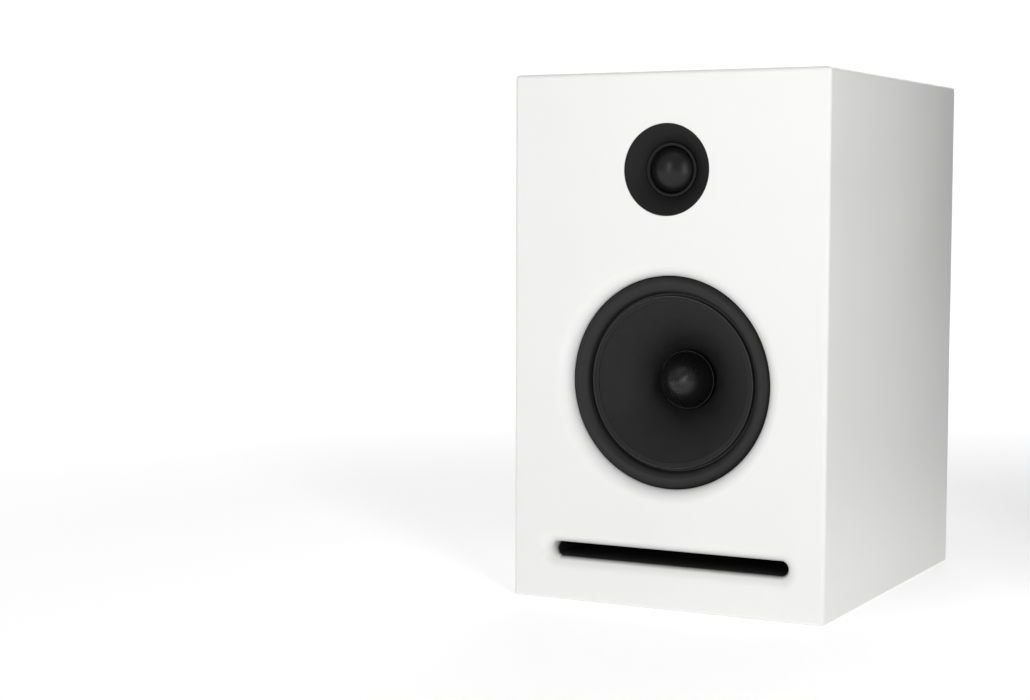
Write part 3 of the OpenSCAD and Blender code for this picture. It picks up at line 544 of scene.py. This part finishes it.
cone = dict(lipOuter=41.1, lipInner=38.3, lipFront=8.5, lipRear=9.4, lipUnder=39.0, lipEdge=0.45,
            innerEdge=0.2, footR=15.8, footD=27.05, curve=60, backR=0.36, backD=0.82, neckR=12.8,
            neckD=30.75, neckLength=0.5, steps=30)


# Points from p to q on an arc that bulges to the left of the way
def bow(p, q, radius, steps):
    p, q = Vector(p), Vector(q)
    way = (q - p).normalized()
    halfWay = (q - p).length / 2
    centre = (p + q) / 2 - sqrt(radius ** 2 - halfWay ** 2) * Vector((-way.y, way.x))
    start = Vector(p - centre)
    swing = 2 * asin(halfWay / radius)
    return [tuple(centre + Matrix.Rotation(-swing * i / steps, 2) @ start) for i in range(steps + 1)]


front = bow((cone["lipInner"], cone["lipFront"] + 2 * cone["innerEdge"]), (cone["footR"], cone["footD"]),
            cone["curve"], cone["steps"])
behind = [(r + cone["backR"], d + cone["backD"]) for r, d in front]
lipEdge, innerEdge = cone["lipEdge"], cone["innerEdge"]
lip = ([(cone["lipUnder"], cone["lipRear"]), (cone["lipOuter"], cone["lipRear"])]
       + arc(cone["lipOuter"] - lipEdge, cone["lipFront"] + lipEdge, lipEdge, 0, -90, 5)
       + arc(cone["lipInner"] + innerEdge, cone["lipFront"] + innerEdge, innerEdge, -90, -180, 3))
neck = [(cone["neckR"], cone["neckD"]), (cone["neckR"], cone["neckD"] + cone["neckLength"])]
body = turn("cone_body", lip + front + neck + behind[::-1][1:], 0, wooferZ, 180)
smooth(body, 50)
place(body, "cone", "cone_black", "woofer_cone")
bead = dict(radius=40.9, depth=8.5, thick=0.34)  # shiny adhesive along the lip's edge
glue = turn("glue_bead", arc(bead["radius"], bead["depth"], bead["thick"], 0, 330, 11), 0, wooferZ, 180)
smooth(glue, 60)
place(glue, "cone", "black_plastic")

cap = dict(radius=13.6, height=16.0, curve=22, rimD=26.6, skirt=29, skirtOuter=14.15, skirtInner=13.1,
           wall=0.5, bead=0.24, steps=26)
tip, innerR = cap["rimD"] - cap["height"], cap["radius"] - cap["wall"]
outer = bow((cap["radius"], cap["rimD"]), (nearAxis, tip), cap["curve"], cap["steps"])
inner = bow((innerR, cap["rimD"]), (nearAxis, tip + cap["wall"] * 1.1), cap["curve"], cap["steps"])
rimBead = arc(cap["radius"] + cap["bead"], cap["rimD"], cap["bead"], -175, 0, 8)
skirt = [(cap["skirtOuter"], cap["skirt"]), (cap["skirtInner"], cap["skirt"])]
dustCap = turn("dust_cap", outer[::-1][:-1] + rimBead + skirt + inner[1:], 0, wooferZ, 144,
               poles=(outer[-1][1], inner[-1][1]))
smooth(dustCap, 50)
place(dustCap, "cone", "cap_black", "woofer_dust_cap")

print("stage: tweeter")
horn = dict(mouth=21.55, edge=0.35, corner=0.25, throat=11.25, lipR=12.85, lipD=7.1, crestD=6.55,
            crestWidth=1.15, crestOuter=0.32, crestInner=0.35, cavity=13.2, seat=16.4, seatFront=8.6,
            flangeR=30, flangeFront=9, flangeRear=11.5, curve=26, steps=24)
wall = bow((horn["mouth"] - horn["edge"], 0), (horn["lipR"], horn["lipD"]), horn["curve"], horn["steps"])
throat, corner, crestD = horn["throat"], horn["corner"], horn["crestD"]
lipTop = (arc(throat + horn["crestWidth"], crestD, horn["crestOuter"], 20, -80, 5)
          + arc(throat + horn["crestInner"], crestD, horn["crestInner"], -100, -180, 5))
hornPiece = turn("tweeter_horn_shell",
                 [(horn["mouth"], horn["flangeFront"]), (horn["mouth"], corner)]
                 + arc(horn["mouth"] - corner, corner, corner, -20, -90, 3) + wall[1:] + lipTop
                 + [(throat, 7.3), (horn["cavity"], 7.6), (horn["cavity"], horn["seatFront"]),
                    (horn["seat"], horn["seatFront"]), (horn["seat"], horn["flangeRear"]),
                    (horn["flangeR"], horn["flangeRear"]), (horn["flangeR"], horn["flangeFront"])],
                 0, tweeterZ, 144)
smooth(hornPiece, 40)
place(hornPiece, "cabinet", "horn_plastic", "tweeter_horn")

dome = dict(radius=10.9, height=5.4, rimD=7.4, skirtD=8.85, skirtWall=0.25, wall=0.3, steps=22)
ball = (dome["radius"] ** 2 + dome["height"] ** 2) / (2 * dome["height"])
ballD = dome["rimD"] - dome["height"] + ball


def domeCurve(radius, steps):
    top = asin((ballD - dome["rimD"]) / radius)
    return [(max(radius * cos(angle), nearAxis), ballD - radius * sin(angle))
            for angle in (top + (pi / 2 - top) * i / steps for i in range(steps + 1))]


domeOut, domeIn = domeCurve(ball, dome["steps"]), domeCurve(ball - dome["wall"], dome["steps"])
domeSkirt = [(dome["radius"], dome["skirtD"]), (dome["radius"] - dome["skirtWall"], dome["skirtD"])]
domePiece = turn("dome", domeOut[::-1] + domeSkirt + domeIn, 0, tweeterZ, 96,
                 poles=(domeOut[-1][1], domeIn[-1][1]))
smooth(domePiece, 50)
place(domePiece, "dome", "dome_cloth", "tweeter_dome")

edging = dict(middleR=11.9, middleD=8.85, outerR=0.975, innerR=0.725, flangeR=15.8, flangeFront=8.6,
              steps=12)
edgeR, edgeD, steps = edging["middleR"], edging["middleD"], edging["steps"]
domeRoll = turn("dome_roll", arc(edgeR, edgeD, edging["outerR"], -180, 0, steps)
                + [(edging["flangeR"], edging["flangeFront"]), (edging["flangeR"], edgeD)]
                + arc(edgeR, edgeD, edging["innerR"], 0, -180, steps), 0, tweeterZ, 96)
smooth(domeRoll, 50)
place(domeRoll, "cabinet", "dome_cloth", "tweeter_surround")

print("stage: terminals")
cup = dict(width=84, height=62, corner=5, flange=2.0, bodyW=67, bodyH=45, bodyCorner=4,
           recessW=62, recessH=40, recessCorner=3, floor=26.0, base=28.5, lipBevel=0.5, floorBevel=1.2,
           mouthBevel=0.35, screwX=38, screwZ=27)


def atRear(depth):
    return rearY - depth * mm


cupPiece = roundedPlate("cup", cup["width"], cup["height"], cup["corner"],
                        atRear(cup["flange"]), rearY, cupZ)
bevelEdges(cupPiece, cup["lipBevel"] * mm, 3, lambda p, q: p.y > rearY - 1e-5 and q.y > rearY - 1e-5)
cupBody = roundedPlate("cupBody", cup["bodyW"], cup["bodyH"], cup["bodyCorner"],
                       atRear(cup["base"]), atRear(1), cupZ)
addModifier(cupPiece, "BOOLEAN", operation="UNION", solver="EXACT", object=cupBody)
bpy.data.objects.remove(cupBody)
cupFloorY = atRear(cup["floor"])
recess = roundedPlate("recess", cup["recessW"], cup["recessH"], cup["recessCorner"],
                      cupFloorY, atRear(-3), cupZ)
bevelEdges(recess, cup["floorBevel"] * mm, 4, lambda p, q: max(p.y, q.y) < cupFloorY + 1e-5)
sunkHole = [(nearAxis, -1), (3.35, -1), (3.35, 0.05), (2.1, 1.7), (2.1, 3), (nearAxis, 3)]
screwCuts = [turn("screwCut", sunkHole, x * mm, cupZ + z * mm, 32, True, (-1, 3))
             for x in (-cup["screwX"], cup["screwX"]) for z in (-cup["screwZ"], cup["screwZ"])]
cut(cupPiece, recess, *screwCuts)
mouthX, mouthZ = (cup["recessW"] / 2 + 0.2) * mm, (cup["recessH"] / 2 + 0.2) * mm
bevelEdges(cupPiece, cup["mouthBevel"] * mm, 2,
           lambda p, q: min(p.y, q.y) > rearY - 1e-5 and max(abs(p.x), abs(q.x)) < mouthX
           and max(abs(p.z - cupZ), abs(q.z - cupZ)) < mouthZ)
smooth(cupPiece)
place(cupPiece, "cabinet", "cup_plastic", "terminal_cup")

posts = {"red": middle("red_post").x, "black": middle("black_post").x}
mark = dict(size=5.5, width=1.3, height=0.45, above=13.5)  # raised plus and minus over the posts
for name, x in posts.items():
    z = cupZ + mark["above"] * mm
    y0, y1 = cupFloorY - 0.3 * mm, cupFloorY + mark["height"] * mm
    long, thin = mark["size"] / 2 * mm, mark["width"] / 2 * mm
    sign = block(name + "_mark", (x - long, y0, z - thin), (x + long, y1, z + thin))
    if name == "red":
        upright = block("upright", (x - thin, y0, z - long), (x + thin, y1, z + long))
        addModifier(sign, "BOOLEAN", operation="UNION", solver="EXACT", object=upright)
        bpy.data.objects.remove(upright)
    bevelEdges(sign, 0.15 * mm, 2, lambda p, q: p.y > y1 - 1e-5 and q.y > y1 - 1e-5)
    smooth(sign)
    place(sign, "cabinet", "cup_plastic")

post = dict(radius=4.0, end=7.8, socket=2.02, socketEnd=20.0, hole=1.5, holeAt=21.8, collar=6.4,
            collarFrom=23.5, collarDepth=2.5, shoulder=24, stud=2.5, studEnd=40, edge=0.4, mouth=0.35)
washer = dict(radius=6.8, front=22.3, back=23.5, edge=0.2)
nut = dict(bore=4.06, radius=7.6, front=8.3, back=22.3, flutes=12, fluteR=1.3, fluteAt=8.3, insertR=5.4)
for name, x in posts.items():
    r, e = post["radius"], post["edge"]
    shoulder, mouth = post["shoulder"], post["mouth"]
    shaft = turn(name + "_shaft",
                 [(nearAxis, post["studEnd"]), (post["stud"], post["studEnd"]), (post["stud"], shoulder),
                  (r, shoulder), (r, post["end"] + e)] + arc(r - e, post["end"] + e, e, 0, -90, 4)[1:]
                 + [(post["socket"] + mouth, post["end"]), (post["socket"], post["end"] + mouth),
                    (post["socket"], post["socketEnd"]), (nearAxis, post["socketEnd"])],
                 x, cupZ, 64, True, (post["studEnd"], post["socketEnd"]))
    bpy.ops.object.select_all(action="DESELECT")
    collarY = atRear(post["collarFrom"] + post["collarDepth"] / 2)
    bpy.ops.mesh.primitive_cylinder_add(
        vertices=6, radius=post["collar"] * mm, depth=post["collarDepth"] * mm,
        location=(x, collarY, cupZ), rotation=(pi / 2, pi / 6, 0))
    collar = newPiece("collar")
    bevelEdges(collar, 0.25 * mm, 2, lambda p, q: True)
    addModifier(shaft, "BOOLEAN", operation="UNION", solver="EXACT", object=collar)
    bpy.data.objects.remove(collar)
    bpy.ops.object.select_all(action="DESELECT")
    bpy.ops.mesh.primitive_cylinder_add(vertices=32, radius=post["hole"] * mm, depth=12 * mm,
                                        location=(x, atRear(post["holeAt"]), cupZ))
    cut(shaft, newPiece("wireHole"))
    smooth(shaft, 40)
    place(shaft, "cabinet", "gold_plate", name + "_post")

    rimR, f, b = nut["radius"], nut["front"], nut["back"]
    grip = turn(name + "_grip", [(nut["insertR"], f + 0.6), (nut["insertR"] + 0.5, f)]
                + arc(rimR - 1.0, f + 1.0, 1.0, -90, 0, 5)
                + [(rimR, b - 2.5), (rimR - 1, b - 1.5), (rimR - 1, b), (nut["bore"], b),
                   (nut["bore"], f + 0.6)],
                x, cupZ, 96, True)
    flutes = []
    for i in range(nut["flutes"]):
        angle = 2 * pi * i / nut["flutes"]
        bpy.ops.object.select_all(action="DESELECT")
        out = nut["fluteAt"] * mm
        bpy.ops.mesh.primitive_cylinder_add(
            vertices=24, radius=nut["fluteR"] * mm, depth=13 * mm, rotation=(pi / 2, 0, 0),
            location=(x + out * cos(angle), atRear(f + 5), cupZ + out * sin(angle)))
        flutes.append(newPiece("flute"))
    cut(grip, *flutes)
    smooth(grip, 40)
    place(grip, name + "_nut", name + "_plastic", name + "_thumb_nut")
    bore, rim = nut["bore"], nut["insertR"] - 0.02
    insert = turn(name + "_nut_insert",
                  [(bore, b - 0.5), (bore, f + 0.25), (bore + 0.25, f + 0.02), (rim, f + 0.02),
                   (rim, f + 0.55), (bore + 0.4, f + 0.55), (bore + 0.4, b - 0.5)], x, cupZ, 64, True)
    smooth(insert, 40)
    place(insert, name + "_nut", "gold_plate")

    r, e = washer["radius"] - washer["edge"], washer["edge"]
    fromD, toD = washer["front"], washer["back"]
    ring = turn(name + "_washer",
                [(bore, fromD + e), (bore + e, fromD)] + arc(r, fromD + e, e, -90, 0, 3)
                + arc(r, toD - e, e, 0, 90, 3) + [(bore + e, toD), (bore, toD - e)], x, cupZ, 64, True)
    smooth(ring, 40)
    place(ring, name + "_washer", "gold_plate", name + "_clamp_washer")

screw = dict(head=3.05, edge=0.2, top=0.15, cone=1.65, shank=1.9, coreR=1.55, coreD=2.6, end=8.5,
             cross=3.6, slot=0.36, slotDepth=1.3)
screwAt = (cup["screwX"] * mm, atRear(screw["top"]), cupZ + cup["screwZ"] * mm)
e = screw["edge"]
first = turn("terminal_screw",
             [(nearAxis, screw["top"])] + arc(screw["head"] - e, screw["top"] + e, e, -90, 0, 3)
             + [(screw["shank"], screw["cone"]), (screw["shank"], 2.5), (screw["coreR"], screw["coreD"]),
                (screw["coreR"], screw["end"] - 1), (nearAxis, screw["end"])],
             screwAt[0], screwAt[2], 48, True, (screw["top"], screw["end"]))
for turned in (45, 135):
    bpy.ops.object.select_all(action="DESELECT")
    bpy.ops.mesh.primitive_cube_add(
        size=1, location=screwAt, rotation=(0, radians(turned), 0),
        scale=(screw["cross"] * mm, 2 * screw["slotDepth"] * mm, 2 * screw["slot"] * mm))
    cut(first, newPiece("crossSlot"))
smooth(first, 40)
copies = [first]
for dx, dz in ((-2, 0), (0, -2), (-2, -2)):
    setActive(first)
    bpy.ops.object.duplicate()
    copy = bpy.context.object
    copy.name = copy.data.name = f"terminal_screw_{len(copies) + 1}"
    bpy.ops.object.mode_set(mode="EDIT")
    bpy.ops.mesh.select_all(action="SELECT")
    bpy.ops.transform.translate(value=(dx * cup["screwX"] * mm, 0, dz * cup["screwZ"] * mm))
    bpy.ops.object.mode_set(mode="OBJECT")
    copies.append(copy)
for copy in copies:
    place(copy, "cabinet", "black_screws", *(["terminal_screws"] if copy is first else []))

print("stage: camera and light")
camera = dict(lens=70.57, sensor=36, far=50, place=(0.3854, -0.9636, 0.1939),
              turned=28.25, tilt=-4.25, roll=0.14)
bpy.ops.object.camera_add(location=camera["place"])
eye = bpy.context.object
eye.name = "camera"
eye.data.lens, eye.data.sensor_width, eye.data.clip_end = camera["lens"], camera["sensor"], camera["far"]
turnedTo = (Matrix.Rotation(radians(camera["turned"]), 3, "Z")
            @ Matrix.Rotation(radians(90 + camera["tilt"]), 3, "X")
            @ Matrix.Rotation(radians(camera["roll"]), 3, "Z"))
eye.rotation_euler = turnedTo.to_euler()
bpy.context.scene.camera = eye

bpy.ops.object.select_all(action="DESELECT")
bpy.ops.mesh.primitive_plane_add(size=5, location=(0, 0, cadLow.z))
floor = newPiece("floor")
floorPaint = bpy.data.materials.new("floorPaint")
floorPaint.use_nodes = True
floorTree = floorPaint.node_tree
floorShader = floorTree.nodes["Principled BSDF"]
floorShader.inputs["Base Color"].default_value = (0.93, 0.93, 0.93, 1)
floorShader.inputs["Roughness"].default_value = 0.9
floorShader.inputs["Emission Color"].default_value = (1, 1, 1, 1)
away = addNode(floorTree, "ShaderNodeVectorMath", (-700, 0), operation="LENGTH")
floorTree.links.new(mapped(floorTree), away.inputs[0])
floorGlow = dict(near=0.36, far=0.6, nearAt=0.4, farAt=1.5)  # brighter where it meets the background
glow = ranged(floorTree, away.outputs["Value"], floorGlow["near"], floorGlow["far"], (-400, 0),
              floorGlow["nearAt"], floorGlow["farAt"])
floorTree.links.new(glow, floorShader.inputs["Emission Strength"])
floor.data.materials.append(floorPaint)

lamps = [  # name, place, aim, width, height, watts
    ("frontLeft", (-0.74, -2.2, 0.65), (0, 0, 0.16), 0.32, 1.2, 6.3),
    ("keyRight", (1.6, -1.66, 0.9), (0, 0, 0.13), 0.5, 1.2, 14),
    ("nearRight", (0.50, -0.62, 0.3), (0.05, 0, 0.16), 0.1, 0.5, 0.7),
    ("overheadFront", (0, -1.2, 2.2), (0, 0, 0.1), 1.0, 0.8, 1),
    ("behind", (-0.6, 2.2, 1.3), (0, 0, 0.1), 1.6, 1.2, 12),
]
for name, spot, aim, width, height, watts in lamps:
    bpy.ops.object.light_add(type="AREA", location=spot)
    lamp = bpy.context.object
    lamp.name = name
    lamp.data.shape, lamp.data.energy = "RECTANGLE", watts
    lamp.data.size, lamp.data.size_y = width, height
    lamp.rotation_euler = (Vector(aim) - Vector(spot)).to_track_quat("-Z", "Y").to_euler()
    lamp.visible_camera = False
    lamp.visible_glossy = name != "keyRight"  # the key would show as a white sheet in the top

# A dark card behind the cabinet on its right, unseen by the camera, that shades the rear of its side
cardSetup = dict(place=(0.22, 0.36, 0.2), side=0.6, grey=0.03)
bpy.ops.object.select_all(action="DESELECT")
bpy.ops.mesh.primitive_plane_add(size=1, location=cardSetup["place"], rotation=(0, pi / 2, 0))
card = bpy.context.object
card.name, card.scale, card.visible_camera = "card", (cardSetup["side"], cardSetup["side"], 1), False
cardPaint = bpy.data.materials.new("cardPaint")
cardPaint.use_nodes = True
cardShader = cardPaint.node_tree.nodes["Principled BSDF"]
cardShader.inputs["Base Color"].default_value = (*[cardSetup["grey"]] * 3, 1)
card.data.materials.append(cardPaint)

world = bpy.data.worlds.new("studio")
bpy.context.scene.world = world
world.use_nodes = True
sky = world.node_tree.nodes["Background"]
sky.inputs["Color"].default_value = (1, 1, 1, 1)
seen = addNode(world.node_tree, "ShaderNodeLightPath", (-400, 0))
strength = addNode(world.node_tree, "ShaderNodeMapRange", (-200, 0))
strength.inputs["To Min"].default_value = 0.45  # what lights the scene
strength.inputs["To Max"].default_value = 1.05  # what shows behind it
world.node_tree.links.new(seen.outputs["Is Camera Ray"], strength.inputs["Value"])
world.node_tree.links.new(strength.outputs["Result"], sky.inputs["Strength"])
bpy.context.scene.view_settings.view_transform = "Standard"
bpy.context.scene.view_settings.look = "None"

setActive(floor)
print("stage: done")
